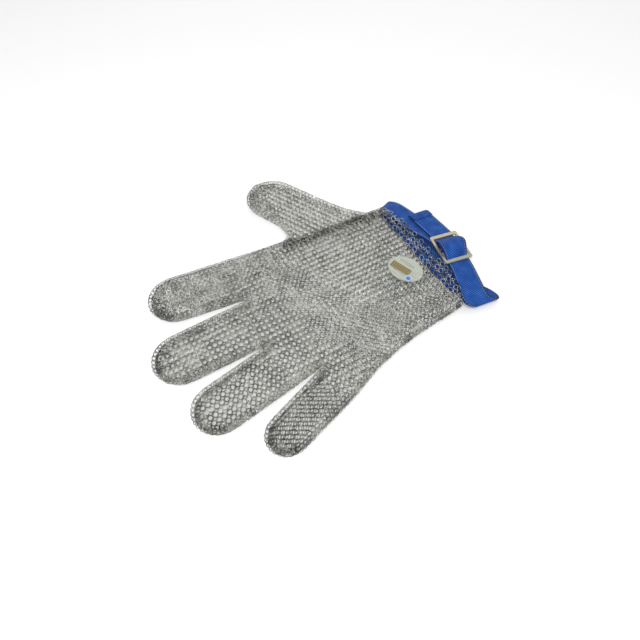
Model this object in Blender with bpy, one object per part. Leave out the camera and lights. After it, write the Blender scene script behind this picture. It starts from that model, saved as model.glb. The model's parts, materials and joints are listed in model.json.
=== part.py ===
"""Ring mesh cut resistant glove, lying flat and empty with its palm side up.

Constants are in millimetres and MM turns them into metres. The glove rests on z = 0, +Y runs from the
wrist to the fingertips, +X points to the thumb, and the origin is in the middle of the cuff's mouth.
"""

import math

import bmesh
import bpy
import numpy as np
from mathutils import Matrix, Vector

MM = 0.001
GAP = 0.3  # clearance between neighbouring pieces
FLEX_SPARE = 2.0  # degrees of clearance beyond a joint's range

# Ring mesh
WALL = 1.5  # thickness of the woven mesh
TIP_WALL = 0.8  # the same at a rounded tip, as a share of WALL
MOST_INSET = 0.42  # the most that the lining is inset from each side, as a share of the width
FINGER_HEIGHT = 8.8
CUFF_HEIGHT = 11.4  # at the mouth, where the buckle lies over the mesh
PALM_HEIGHT = 13.0
SIDE_ROUND = 8.7  # radius of the hand's long sides on the palm side
BACK_ROUND = 3.9  # the same on the back, which lies flatter
TUBE_POWER = {"palm": 2.6, "back": 3.6}  # superellipse power of a finger's section
MITRE_ANGLE = 45.0  # slope of the hand's side of the thumb's fold
SMOOTH_ANGLE = math.radians(40)  # edges sharper than this stay sharp
STEEL = (0.62, 0.62, 0.59, 1.0)

# Fingers: middle of the root, lean from +Y towards the thumb, width at the root and at the tip, length,
# and how far along the middle joint sits
FINGERS = {
    "index": {"root": (47.9, 131.1), "lean": 6.5, "width": (40.9, 39.2), "length": 68.7, "knuckle": 32.2},
    "middle": {"root": (4.8, 139.2), "lean": -1.7, "width": (41.3, 39.2), "length": 76.1, "knuckle": 35.7},
    "ring": {"root": (-35.2, 137.5), "lean": -10.0, "width": (37.4, 35.7), "length": 69.6, "knuckle": 33.1},
    "little": {"root": (-66.6, 113.6), "lean": -19.0, "width": (30.8, 26.1), "length": 61.8, "knuckle": 29.6},
}
RING_ROOT_SHIFT = 1.0  # how far the hand's edge keeps off the little finger at the ring finger's root
BASE_RANGE = 80.0  # degrees that a finger bends at the hand
TIP_RANGE = 75.0  # degrees that it bends at its middle

# Thumb: its tip stretch is straight, and its base stretch opens towards the fold along the hand
THUMB = {"root": (93.1, 59.6), "lean": 63.0, "width": (43.5, 40.9), "length": 43.5}
THUMB_FOLD = ((57.4, 10.4), (63.1, 80.0))
THUMB_LEFT = ((63.1, 80.0), (73.1, 78.0), (83.2, 79.0))
THUMB_RIGHT = ((57.4, 10.4), (70.0, 21.3), (86.1, 31.6), (103.0, 40.2))
THUMB_RANGE = 95.0
THUMB_INSET = 5.7  # how far the palm side stops short of the fold, so that the thumb can fold up
THUMB_SLOPE = 7.8  # length over which the palm comes down to the thumb

# Hand: long sides from the cuff to the finger roots, and the cuff's dip in the middle
HAND_LEFT = ((-54.8, -7.0), (-57.8, 8.7), (-60.9, 41.8), (-68.3, 76.6), (-81.0, 108.1))
HAND_RIGHT = ((55.7, -3.5), (57.2, 9.6), (59.6, 41.8), (63.0, 80.0), (68.2, 128.6))
CUFF_DIP = 3.5
CUFF_LENGTH = 0.10  # share of the hand's length over which its height rises from the cuff
DIP_LENGTH = 0.25  # the same for the dip
ROOTS_FROM = 0.55  # share of the hand's length beyond which it takes the shape of the finger roots
THUMB_OPENS = (0.18, 0.80)  # shares of the hand's length between which its side opens into the thumb

# Strap: webbing, its centre line as (x, y, z, turn in degrees of the band's long direction from +X)
STRAP_WIDTH = 17.8
STRAP_THICK = 1.2
RIGHT_RUN = ((-7.0, -22.6, 9.1, -10.0), (7.0, -20.9, 9.0, -4.0), (24.4, -15.2, 9.0, 6.0),
             (41.8, -12.0, 8.7, 3.0), (51.3, -15.1, 8.1, 0.0))
RIGHT_TURN = ((57.9, -15.5, 5.7, 0.0),)
LOWER_RUN = ((51.3, -15.1, 2.9, 0.0), (40.0, -10.0, 2.6, 0.0), (0.0, -9.1, 2.5, 0.0),
             (-37.4, -9.6, 2.6, 0.0), (-50.5, -17.9, 2.6, 0.0))
LEFT_TURN = ((-59.2, -17.9, 2.5, 0.0), (-64.4, -17.9, 6.1, 0.0), (-58.3, -17.9, 10.1, -2.0))
LEFT_RUN = ((-43.5, -18.1, 10.7, -4.0), (-31.3, -18.8, 10.7, -8.0), (-24.0, -19.7, 10.5, -10.0))
OVER_BAR = ((-19.1, -20.4, 12.7, -10.0), (-11.5, -21.7, 16.4, -10.0), (-3.8, -23.0, 12.7, -10.0),
            (1.0, -23.8, 10.6, -10.0))
TAIL = ((4.4, -24.4, 11.0, -8.0), (17.4, -23.4, 11.0, -4.0), (31.0, -22.0, 11.0, -6.0))
HEM_LENGTH = 6.1
STRAP_BLUE = (0.05, 0.14, 0.50, 1.0)

# Slide buckle
BUCKLE_AT = (-11.5, -21.7)
BUCKLE_TURN = -10.0
BUCKLE_LENGTH = 28.4
BUCKLE_WIDTH = 22.8
END_BAR = 3.0
SIDE_RAIL = 2.0
BUCKLE_LOW = 12.0
BUCKLE_THICK = 1.4
BUCKLE_CORNER = 1.4
HOLE_CORNER = 0.5
BUCKLE_BEVEL = 0.2
CENTRE_BAR_RADIUS = 1.0
BUCKLE_METAL = (0.72, 0.70, 0.62, 1.0)

# Tag
TAG_AT = (-12.8, 21.6)
TAG_TURN = 20.0
TAG_SIZE = (28.0, 22.0)
TAG_THICK = 0.7
TAG_BEVEL = 0.2
TAG_LOW = 13.4
LABEL_SIZE = (16.0, 5.2)
LABEL_AT = (3.2, 1.6)
PRINT_THICK = 0.3
DOT_AT = (-7.0, 6.6)
DOT_RADIUS = 1.5
DOT_RIM = 0.8
TAG_METAL = (0.66, 0.68, 0.62, 1.0)
LABEL_GOLD = (0.42, 0.33, 0.12, 1.0)
DOT_BLUE = (0.10, 0.16, 0.62, 1.0)
DOT_PALE = (0.66, 0.74, 0.86, 1.0)


def clearScene():
    for obj in list(bpy.data.objects):
        bpy.data.objects.remove(obj, do_unlink=True)


def makeMaterial(name, colour, roughness, metallic):
    material = bpy.data.materials.new(name)
    material.use_nodes = True
    shader = material.node_tree.nodes["Principled BSDF"]
    shader.inputs["Base Color"].default_value = colour
    shader.inputs["Roughness"].default_value = roughness
    shader.inputs["Metallic"].default_value = metallic
    return material


def addObject(name, mesh, material, collection, pivot=(0, 0, 0)):
    """Puts a mesh given in millimetres into the scene, with its origin on pivot."""
    mesh.transform(Matrix.Scale(MM, 4) @ Matrix.Translation(-Vector(pivot)))
    mesh.materials.append(material)
    obj = bpy.data.objects.new(name, mesh)
    obj.location = Vector(pivot) * MM
    collection.objects.link(obj)
    return obj


def smoothStep(x):
    x = min(max(x, 0.0), 1.0)
    return x * x * (3 - 2 * x)


def curvePoint(points, u):
    """A point at the share u of a smooth curve through points."""
    points = np.array(points, float)
    last = len(points) - 1
    i = min(int(u * last), last - 1)
    f = u * last - i
    before = points[i - 1] if i > 0 else 2 * points[0] - points[1]
    after = points[i + 2] if i + 2 <= last else 2 * points[-1] - points[-2]
    a, b = points[i], points[i + 1]
    square = 2 * before - 5 * a + 4 * b - after
    cube = 3 * a - before - 3 * b + after
    return 0.5 * (2 * a + (b - before) * f + square * f**2 + cube * f**3)


def leanVectors(lean):
    """Unit vectors along a finger that leans from +Y towards +X, and across it towards its right."""
    a = math.radians(lean)
    return np.array([math.sin(a), math.cos(a)]), np.array([math.cos(a), -math.sin(a)])


class Row:
    """One cross-section of a flattened mesh tube.

    left and right are its sides in plan, along points down the tube, and rise is its half height. The lining
    is inset from the sides, and set back from a closed tip.
    """

    def __init__(self, left, right, along, height, inset=WALL):
        self.left = np.array(left, float)
        self.right = np.array(right, float)
        self.along = np.array(along, float)
        self.rise = height / 2
        self.middle = height / 2
        self.inset = inset
        self.setback = 0.0
        self.bend = None
        self.opened = 0.0

    def plan(self, share, lining):
        """The plan point at a share of the way from the left side to the right side."""
        width = np.linalg.norm(self.right - self.left)
        if lining:
            inset = min(self.inset / width, MOST_INSET)
            share = inset + share * (1 - 2 * inset)
        point = self.left + (self.right - self.left) * share
        if lining:
            point = point - self.along * self.setback
        return point + (self.bend(share) if self.bend else 0.0)


def tubeSection(side):
    """Shares across a finger's section, each with its height from 0 at the sides to 1."""
    power = TUBE_POWER[side]
    section = []
    for i in range(11):
        angle = math.pi * (1 - i / 10)
        across = math.copysign(abs(math.cos(angle)) ** (2 / power), math.cos(angle))
        section.append((0.5 + 0.5 * across, abs(math.sin(angle)) ** (2 / power)))
    return section


def panelMesh(name, rows, side, heightAt, shares, startMitre=None, endMitre=None, closedEnd=False):
    """One half of a flattened tube of mesh, split from its other half at the middle of its height.

    startMitre and endMitre are (pivot height, degrees): above the pivot height that end slopes away from
    the joint, by so many degrees, so that the tube can bend.
    """
    sign = 1 if side == "palm" else -1
    mitres = [end for end in ((startMitre, 0, 1), (endMitre, len(rows) - 1, -1)) if end[0]]
    bm = bmesh.new()

    def skin(lining):
        grid = []
        for index, row in enumerate(rows):
            line = []
            for share in shares:
                rise = heightAt(row, share)
                if lining:
                    rise -= WALL if row.setback == 0 else WALL * TIP_WALL
                z = row.middle + sign * max(rise, GAP / 2)
                x, y = row.plan(share, lining)
                for (pivot, slope), at, way in mitres:
                    if index == at and z > pivot:
                        shift = way * (z - pivot) * math.tan(math.radians(slope))
                        x += row.along[0] * shift
                        y += row.along[1] * shift
                line.append(bm.verts.new((x, y, z)))
            grid.append(line)
        return grid

    outer = skin(False)
    inner = skin(True)
    last = len(shares) - 1
    for i in range(len(rows) - 1):
        for j in range(last):
            bm.faces.new((outer[i][j], outer[i][j + 1], outer[i + 1][j + 1], outer[i + 1][j]))
            bm.faces.new((inner[i][j], inner[i + 1][j], inner[i + 1][j + 1], inner[i][j + 1]))
        for j in (0, last):
            bm.faces.new((outer[i][j], outer[i + 1][j], inner[i + 1][j], inner[i][j]))
    for j in range(last):
        bm.faces.new((outer[0][j], inner[0][j], inner[0][j + 1], outer[0][j + 1]))
    if closedEnd:
        bm.faces.new(outer[-1])
        bm.faces.new(inner[-1])
        bm.faces.new((outer[-1][0], inner[-1][0], inner[-1][last], outer[-1][last]))
    else:
        for j in range(last):
            bm.faces.new((outer[-1][j], outer[-1][j + 1], inner[-1][j + 1], inner[-1][j]))
    bmesh.ops.recalc_face_normals(bm, faces=bm.faces)
    mesh = bpy.data.meshes.new(name)
    bm.to_mesh(mesh)
    bm.free()
    mesh.shade_smooth()
    mesh.set_sharp_from_angle(angle=SMOOTH_ANGLE)
    return mesh


def straightRows(part, start, end, count):
    """Sections of a straight stretch of finger between two distances from its root."""
    along, across = leanVectors(part["lean"])
    rows = []
    for s in np.linspace(start, end, count):
        half = np.interp(s, (0, part["length"]), part["width"]) / 2
        middle = np.array(part["root"]) + along * s
        rows.append(Row(middle - across * half, middle + across * half, along, FINGER_HEIGHT))
    return rows


def roundTip(part):
    """Sections that close a fingertip on a half circle in plan."""
    along, across = leanVectors(part["lean"])
    half = part["width"][1] / 2
    rows = []
    for angle in np.radians((15, 30, 45, 58, 69, 78)):
        s = part["length"] - half + half * math.sin(angle)
        middle = np.array(part["root"]) + along * s
        width = half * math.cos(angle)
        row = Row(middle - across * width, middle + across * width, along, FINGER_HEIGHT)
        row.rise *= math.cos(angle) ** 0.35
        row.inset = WALL * math.cos(angle)
        row.setback = WALL * math.sin(angle)
        rows.append(row)
    return rows


def tubeHeight(side):
    section = dict(tubeSection(side))
    return lambda row, share: row.rise * section[share]


def addTubePair(name, rows, startMitre, endMitre, closedEnd, pivot, steel, collection):
    """The palm side and the back side of a stretch of finger."""
    for side in ("palm", "back"):
        shares = [share for share, _ in tubeSection(side)]
        node = f"{name}_{side}"
        mesh = panelMesh(node, rows, side, tubeHeight(side), shares, startMitre, endMitre, closedEnd)
        addObject(node, mesh, steel, collection, pivot)


def mitre(degrees):
    return FINGER_HEIGHT / 2, degrees / 2 + FLEX_SPARE


def addFinger(name, part, steel, collection):
    knuckle = part["knuckle"]
    along, _ = leanVectors(part["lean"])
    root = np.array(part["root"])
    base = straightRows(part, GAP, knuckle - GAP, 5)
    addTubePair(f"{name}_base", base, mitre(BASE_RANGE), mitre(TIP_RANGE), False,
                (*root, FINGER_HEIGHT / 2), steel, collection)
    straight = part["length"] - part["width"][1] / 2
    tip = straightRows(part, knuckle + GAP, straight, 4) + roundTip(part)
    addTubePair(f"{name}_tip", tip, mitre(TIP_RANGE), None, True,
                (*(root + along * knuckle), FINGER_HEIGHT / 2), steel, collection)


def addThumb(steel, collection):
    fold = np.array(THUMB_FOLD)
    across = fold[0] - fold[1]
    away = np.array([-across[1], across[0]]) / np.linalg.norm(across)
    along, _ = leanVectors(THUMB["lean"])
    rows = []
    for u in np.linspace(0, 1, 6):
        direction = away * (1 - u) + along * u
        direction = direction / np.linalg.norm(direction)
        shift = direction * GAP * (1 - 2 * u)
        left = curvePoint(THUMB_LEFT, u) + shift
        right = curvePoint(THUMB_RIGHT, u) + shift
        rows.append(Row(left, right, direction, FINGER_HEIGHT))
    foldMitre = (FINGER_HEIGHT / 2, THUMB_RANGE - MITRE_ANGLE + FLEX_SPARE)
    addTubePair("thumb_base", rows, foldMitre, mitre(TIP_RANGE), False,
                (*fold.mean(axis=0), FINGER_HEIGHT / 2), steel, collection)
    straight = THUMB["length"] - THUMB["width"][1] / 2
    tip = straightRows(THUMB, GAP, straight, 4) + roundTip(THUMB)
    addTubePair("thumb_tip", tip, mitre(TIP_RANGE), None, True,
                (*THUMB["root"], FINGER_HEIGHT / 2), steel, collection)


def rootLine():
    """The hand's far edge, along the finger roots from the little finger to the index finger."""
    line = []
    for name in ("little", "ring", "middle", "index"):
        part = FINGERS[name]
        along, across = leanVectors(part["lean"])
        half = part["width"][0] / 2
        root = np.array(part["root"]) - along * GAP
        line += [root - across * half, root + across * half]
    line[2] = line[2] + np.array([RING_ROOT_SHIFT, 0.0])
    return np.array(line)


def rootShares():
    line = rootLine()
    steps = np.linalg.norm(np.diff(line, axis=0), axis=1)
    return np.concatenate([[0], np.cumsum(steps)]) / steps.sum()


def handShares():
    """Shares across the hand: close together at the sides, and one at each finger's root."""
    edge = [0, 0.005, 0.015, 0.035, 0.065, 0.10]
    inner = list(np.linspace(0.15, 0.85, 15))
    shares = edge + [s for s in inner if min(abs(s - r) for r in rootShares()) > 0.012]
    shares += list(rootShares()[1:-1]) + [1 - s for s in edge]
    return sorted(float(s) for s in shares)


def rootsShare(u):
    """How much the finger roots shape a row of the hand at a share of its length from the cuff."""
    return smoothStep((u - ROOTS_FROM) / (1 - ROOTS_FROM))


def handThickness(u):
    """Full height of the hand at a share of its length from the cuff."""
    rising = CUFF_HEIGHT + (PALM_HEIGHT - CUFF_HEIGHT) * smoothStep(u / CUFF_LENGTH)
    return rising + (FINGER_HEIGHT - PALM_HEIGHT) * rootsShare(u)


def handRows(side):
    rows = []
    line, marks = rootLine(), rootShares()
    opens, closes = THUMB_OPENS
    beside = (opens, opens + 0.03, 0.30, 0.40, 0.50, 0.64, closes - 0.03, closes)
    for u in (0, 0.05, 0.10, *beside, 0.86, 0.93, 1.0):
        left, right = curvePoint(HAND_LEFT, u), curvePoint(HAND_RIGHT, u)
        opened = 1.0 if opens < u < closes else 0.0
        if opened:
            fold = np.array(THUMB_FOLD)
            reach = (right[1] - fold[0][1]) / (fold[1][1] - fold[0][1])
            right[0] = fold[0][0] + (fold[1][0] - fold[0][0]) * reach - GAP
            right[0] -= THUMB_INSET if side == "palm" else 0
        row = Row(left, right, (0.0, 1.0), handThickness(u))
        row.opened = opened
        dip = CUFF_DIP * (1 - smoothStep(u / DIP_LENGTH))
        row.bend = rootBend(rootsShare(u), dip, line, marks)
        rows.append(row)
    return rows


def rootBend(pull, dip, line, marks):
    """How far a row of the hand bends towards the finger roots, and towards the wrist at the cuff."""

    def bend(share):
        root = np.array([np.interp(share, marks, line[:, 0]), np.interp(share, marks, line[:, 1])])
        flat = line[0] + (line[-1] - line[0]) * share
        return (root - flat) * pull + np.array([0.0, -dip * math.sin(math.pi * share)])

    return bend


def edgeRound(distance, radius):
    reach = min(max(distance / radius, 0.0), 1.0)
    return math.sqrt(1 - (1 - reach) ** 2)


def handHeight(side):
    radius = SIDE_ROUND if side == "palm" else BACK_ROUND

    def height(row, share):
        width = np.linalg.norm(row.right - row.left)
        rise = row.rise * edgeRound(share * width, radius)
        if not row.opened:
            return rise * edgeRound((1 - share) * width, radius)
        if side == "back":
            return rise
        low = FINGER_HEIGHT - row.middle
        return low + (rise - low) * smoothStep((1 - share) * width / THUMB_SLOPE)

    return height


def addHand(steel, collection):
    for side in ("palm", "back"):
        rows = handRows(side)
        endMitre = (FINGER_HEIGHT / 2, mitre(BASE_RANGE)[1])
        mesh = panelMesh(f"hand_{side}", rows, side, handHeight(side), handShares(), endMitre=endMitre)
        addObject(f"hand_{side}", mesh, steel, collection)


def ribbonMesh(name, points, count):
    """A flat band along a centre line, whose width stays level and square to the band's long direction."""
    centres = np.array([curvePoint(points, u) for u in np.linspace(0, 1, count)])
    tangents = np.gradient(centres[:, :3], axis=0)
    bm = bmesh.new()
    sections = []
    for (x, y, z, turn), tangent in zip(centres, tangents):
        centre = np.array([x, y, z])
        across = np.array([-math.sin(math.radians(turn)), math.cos(math.radians(turn)), 0.0])
        normal = np.cross(tangent, across)
        normal = normal / np.linalg.norm(normal) * STRAP_THICK / 2
        side = across * STRAP_WIDTH / 2
        upper, lower = centre + normal, centre - normal
        corners = (upper - side, upper + side, lower + side, lower - side)
        sections.append([bm.verts.new(corner) for corner in corners])
    for one, two in zip(sections, sections[1:]):
        for j in range(4):
            bm.faces.new((one[j], one[(j + 1) % 4], two[(j + 1) % 4], two[j]))
    bm.faces.new(sections[0])
    bm.faces.new(sections[-1])
    bmesh.ops.recalc_face_normals(bm, faces=bm.faces)
    mesh = bpy.data.meshes.new(name)
    bm.to_mesh(mesh)
    bm.free()
    mesh.shade_smooth()
    mesh.set_sharp_from_angle(angle=SMOOTH_ANGLE)
    return mesh


def barTurn():
    """The sewn end of the webbing, which goes round the buckle's centre bar from above to below."""
    turn = math.radians(BUCKLE_TURN)
    radius = CENTRE_BAR_RADIUS + GAP + STRAP_THICK / 2
    low = BUCKLE_LOW + BUCKLE_THICK / 2
    offsets = [(5.2, -0.95), (3.15, 0.9)]
    angles = np.radians((65, 100, 140, 180, 220, 260))
    offsets += [(radius * math.cos(a), radius * math.sin(a)) for a in angles]
    x, y = BUCKLE_AT
    return tuple((x + s * math.cos(turn), y + s * math.sin(turn), low + z, BUCKLE_TURN) for s, z in offsets)


def addStrap(blue, collection):
    route = barTurn() + RIGHT_RUN + RIGHT_TURN + LOWER_RUN + LEFT_TURN + LEFT_RUN + OVER_BAR
    addObject("strap_band", ribbonMesh("strap_band", route, 140), blue, collection)
    pivot = TAIL[0][:3]
    addObject("strap_tail", ribbonMesh("strap_tail", TAIL, 9), blue, collection, pivot)
    end = np.array(TAIL[-1]) + np.array([0.0, 0.0, STRAP_THICK + GAP, 0.0])
    hem = (tuple(end - np.array([HEM_LENGTH, 0.0, 0.0, 0.0])), tuple(end))
    addObject("tail_hem", ribbonMesh("tail_hem", hem, 2), blue, collection, pivot)


def outlineCurve(name, outlines, thick, low, bevel=0.0):
    """A flat plate from closed outlines in millimetres, the later ones cut out of the first."""
    curve = bpy.data.curves.new(name, "CURVE")
    curve.dimensions = "2D"
    curve.fill_mode = "BOTH"
    curve.extrude = thick / 2 - bevel
    curve.bevel_depth = bevel
    curve.bevel_resolution = 1
    curve.offset = -bevel
    for outline in outlines:
        spline = curve.splines.new("POLY")
        spline.points.add(len(outline) - 1)
        for point, (x, y) in zip(spline.points, outline):
            point.co = (x, y, 0, 1)
        spline.use_cyclic_u = True
    helper = bpy.data.objects.new(name, curve)
    bpy.context.scene.collection.objects.link(helper)
    graph = bpy.context.evaluated_depsgraph_get()
    mesh = bpy.data.meshes.new_from_object(helper.evaluated_get(graph))
    bpy.data.objects.remove(helper)
    bm = bmesh.new()
    bm.from_mesh(mesh)
    bmesh.ops.remove_doubles(bm, verts=bm.verts, dist=0.001)
    bmesh.ops.translate(bm, verts=bm.verts, vec=(0, 0, low + thick / 2))
    bmesh.ops.recalc_face_normals(bm, faces=bm.faces)
    bm.to_mesh(mesh)
    bm.free()
    mesh.name = name
    return mesh


def roundedRectangle(length, width, corner, steps=4):
    points = []
    for k, (sx, sy) in enumerate(((1, 1), (-1, 1), (-1, -1), (1, -1))):
        for i in range(steps + 1):
            angle = math.radians(90 * k + 90 * i / steps)
            points.append((sx * (length / 2 - corner) + corner * math.cos(angle),
                           sy * (width / 2 - corner) + corner * math.sin(angle)))
    return points


def ellipse(centre, length, width, steps):
    angles = [2 * math.pi * i / steps for i in range(steps)]
    return [(centre[0] + length / 2 * math.cos(a), centre[1] + width / 2 * math.sin(a)) for a in angles]


def circle(centre, radius):
    return ellipse(centre, 2 * radius, 2 * radius, 24)


def turnAndPlace(mesh, degrees, place):
    mesh.transform(Matrix.Translation((*place, 0)) @ Matrix.Rotation(math.radians(degrees), 4, "Z"))
    return mesh


def addBuckle(metal, collection):
    outer = roundedRectangle(BUCKLE_LENGTH, BUCKLE_WIDTH, BUCKLE_CORNER)
    hole = roundedRectangle(BUCKLE_LENGTH - 2 * END_BAR, BUCKLE_WIDTH - 2 * SIDE_RAIL, HOLE_CORNER, 2)
    frame = outlineCurve("buckle_frame", (outer, hole), BUCKLE_THICK, BUCKLE_LOW, BUCKLE_BEVEL)
    addObject("buckle_frame", turnAndPlace(frame, BUCKLE_TURN, BUCKLE_AT), metal, collection)
    bm = bmesh.new()
    length = BUCKLE_WIDTH - 2 * SIDE_RAIL - 2 * GAP
    radius = CENTRE_BAR_RADIUS
    bmesh.ops.create_cone(bm, cap_ends=True, segments=16, radius1=radius, radius2=radius, depth=length)
    bmesh.ops.rotate(bm, verts=bm.verts, matrix=Matrix.Rotation(math.pi / 2, 3, "X"))
    bmesh.ops.translate(bm, verts=bm.verts, vec=(0, 0, BUCKLE_LOW + BUCKLE_THICK / 2))
    bar = bpy.data.meshes.new("buckle_centre_bar")
    bm.to_mesh(bar)
    bm.free()
    bar.shade_smooth()
    bar.set_sharp_from_angle(angle=SMOOTH_ANGLE)
    addObject("buckle_centre_bar", turnAndPlace(bar, BUCKLE_TURN, BUCKLE_AT), metal, collection)


def addTag(collection):
    metal = makeMaterial("tag_metal", TAG_METAL, 0.45, 0.7)
    plate = outlineCurve("tag_plate", (ellipse((0, 0), *TAG_SIZE, 40),), TAG_THICK, TAG_LOW, TAG_BEVEL)
    low = TAG_LOW + TAG_THICK + GAP
    half = np.array(LABEL_SIZE) / 2
    signs = ((1, 1), (-1, 1), (-1, -1), (1, -1))
    corners = [(LABEL_AT[0] + sx * half[0], LABEL_AT[1] + sy * half[1]) for sx, sy in signs]
    label = outlineCurve("tag_label", (corners,), PRINT_THICK, low)
    dot = outlineCurve("tag_size_dot", (circle(DOT_AT, DOT_RADIUS),), PRINT_THICK, low)
    rim = (circle(DOT_AT, DOT_RADIUS + GAP + DOT_RIM), circle(DOT_AT, DOT_RADIUS + GAP))
    ring = outlineCurve("tag_dot_rim", rim, PRINT_THICK, low)
    pieces = (
        (plate, metal),
        (label, makeMaterial("label_gold", LABEL_GOLD, 0.5, 0.4)),
        (dot, makeMaterial("dot_blue", DOT_BLUE, 0.4, 0.0)),
        (ring, makeMaterial("dot_pale", DOT_PALE, 0.5, 0.0)),
    )
    for mesh, material in pieces:
        addObject(mesh.name, turnAndPlace(mesh, TAG_TURN, TAG_AT), material, collection)


def main():
    clearScene()
    glove = bpy.data.collections.new("cut_resistant_glove")
    bpy.context.scene.collection.children.link(glove)
    steel = makeMaterial("ring_steel", STEEL, 0.35, 0.9)
    addHand(steel, glove)
    for name, part in FINGERS.items():
        addFinger(name, part, steel, glove)
    addThumb(steel, glove)
    addStrap(makeMaterial("strap_blue", STRAP_BLUE, 0.8, 0.0), glove)
    addBuckle(makeMaterial("buckle_metal", BUCKLE_METAL, 0.3, 0.9), glove)
    addTag(glove)


main()
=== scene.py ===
import json
import math

import bmesh
import bpy
import numpy as np
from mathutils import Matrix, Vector


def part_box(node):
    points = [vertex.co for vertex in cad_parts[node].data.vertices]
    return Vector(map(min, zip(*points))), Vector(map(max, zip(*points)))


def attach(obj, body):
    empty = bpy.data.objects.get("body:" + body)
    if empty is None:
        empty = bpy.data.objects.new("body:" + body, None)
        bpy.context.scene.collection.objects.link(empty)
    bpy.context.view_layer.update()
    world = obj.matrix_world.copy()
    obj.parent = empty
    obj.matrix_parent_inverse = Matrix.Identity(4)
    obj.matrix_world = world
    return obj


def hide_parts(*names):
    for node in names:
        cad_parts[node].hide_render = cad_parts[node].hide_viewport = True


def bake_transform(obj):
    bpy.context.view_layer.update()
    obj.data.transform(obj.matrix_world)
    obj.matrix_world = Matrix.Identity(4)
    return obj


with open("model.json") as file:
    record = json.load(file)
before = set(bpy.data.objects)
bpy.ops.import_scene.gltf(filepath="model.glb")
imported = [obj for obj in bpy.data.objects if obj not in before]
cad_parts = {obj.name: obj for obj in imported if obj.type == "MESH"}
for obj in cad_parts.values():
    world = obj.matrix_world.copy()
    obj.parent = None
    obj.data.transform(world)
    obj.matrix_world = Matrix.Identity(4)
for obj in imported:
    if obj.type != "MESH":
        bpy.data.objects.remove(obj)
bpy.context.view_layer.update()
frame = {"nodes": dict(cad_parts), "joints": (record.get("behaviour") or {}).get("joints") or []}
nodes = frame["nodes"]
joints = {j["name"]: j for j in frame["joints"]}
mm = 0.001


def smooth(x):
    x = np.clip(x, 0.0, 1.0)
    return x * x * (3 - 2 * x)


def unit(v):
    v = np.asarray(v, float)
    return v / np.maximum(np.linalg.norm(v, axis=-1, keepdims=True), 1e-12)


def cornersOf(names):
    # all triangles of some CAD nodes, as an array of corner points
    found = []
    for name in names:
        mesh = nodes[name].data
        mesh.calc_loop_triangles()
        co = np.array([v.co for v in mesh.vertices], float)
        found.append(co[np.array([t.vertices for t in mesh.loop_triangles])])
    return np.concatenate(found)


def spanAt(triangles, axis, value, other):
    # lowest and highest value of the other axis where a plane cuts the triangles
    hits = []
    for i, j in ((0, 1), (1, 2), (2, 0)):
        a, b = triangles[:, i], triangles[:, j]
        cut = (a[:, axis] - value) * (b[:, axis] - value) < 0
        a, b = a[cut], b[cut]
        f = ((value - a[:, axis]) / (b[:, axis] - a[:, axis]))[:, None]
        hits.append((a + (b - a) * f)[:, other])
    hits = np.concatenate(hits)
    return (hits.min(), hits.max()) if len(hits) else None


def makeObject(name, mesh):
    obj = bpy.data.objects.new(name, mesh)
    bpy.context.scene.collection.objects.link(obj)
    return obj


def nodeOf(tree, kind, inputs=None, **settings):
    # a new node, with its settings and the values of its sockets
    node = tree.nodes.new(kind)
    for key, value in settings.items():
        setattr(node, key, value)
    for socket, value in (inputs or {}).items():
        node.inputs[socket].default_value = value
    return node


def newMaterial(name, sockets):
    # a material whose constants stand on the shader's own sockets
    material = bpy.data.materials.new(name)
    material.use_nodes = True
    shader = material.node_tree.nodes["Principled BSDF"]
    for socket, value in sockets.items():
        shader.inputs[socket].default_value = value
    return material, material.node_tree, shader


def rampOf(tree, value, stops):
    # a colour ramp of (position, colour) stops that reads one value
    ramp = nodeOf(tree, "ShaderNodeValToRGB")
    elements = ramp.color_ramp.elements
    for element, (position, colour) in zip(elements, (stops[0], stops[-1])):
        element.position = position
        element.color = (*colour, 1)
    for position, colour in stops[1:-1]:
        elements.new(position).color = (*colour, 1)
    tree.links.new(value, ramp.inputs["Fac"])
    return ramp.outputs["Color"]


lookFrom = {
    "azimuth": -119.85, "elevation": 55.0, "distance": 0.4063, "target": (-0.0130, 0.0949, 0.0),
    "lens": 31.5, "sensor": 36.0, "clipStart": 0.01,
}


def addCamera(c):
    data = bpy.data.cameras.new("camera")
    data.lens = c["lens"]
    data.sensor_width = c["sensor"]
    data.clip_start = c["clipStart"]
    obj = makeObject("camera", data)
    a, e = math.radians(c["azimuth"]), math.radians(c["elevation"])
    back = Vector((math.sin(a) * math.cos(e), -math.cos(a) * math.cos(e), math.sin(e)))
    obj.location = Vector(c["target"]) + back * c["distance"]
    obj.rotation_euler = back.to_track_quat("Z", "Y").to_euler()
    bpy.context.scene.camera = obj


studio = {
    "floorSize": 6.0, "floorTone": 0.93, "sky": 0.6,
    "lamps": (  # name, place, watts, size
        ("keyLight", (-0.5, 0.5, 1.0), 11.0, 0.5),
        ("fillLight", (0.8, -0.6, 0.8), 2.0, 1.0),
    ),
}


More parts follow.
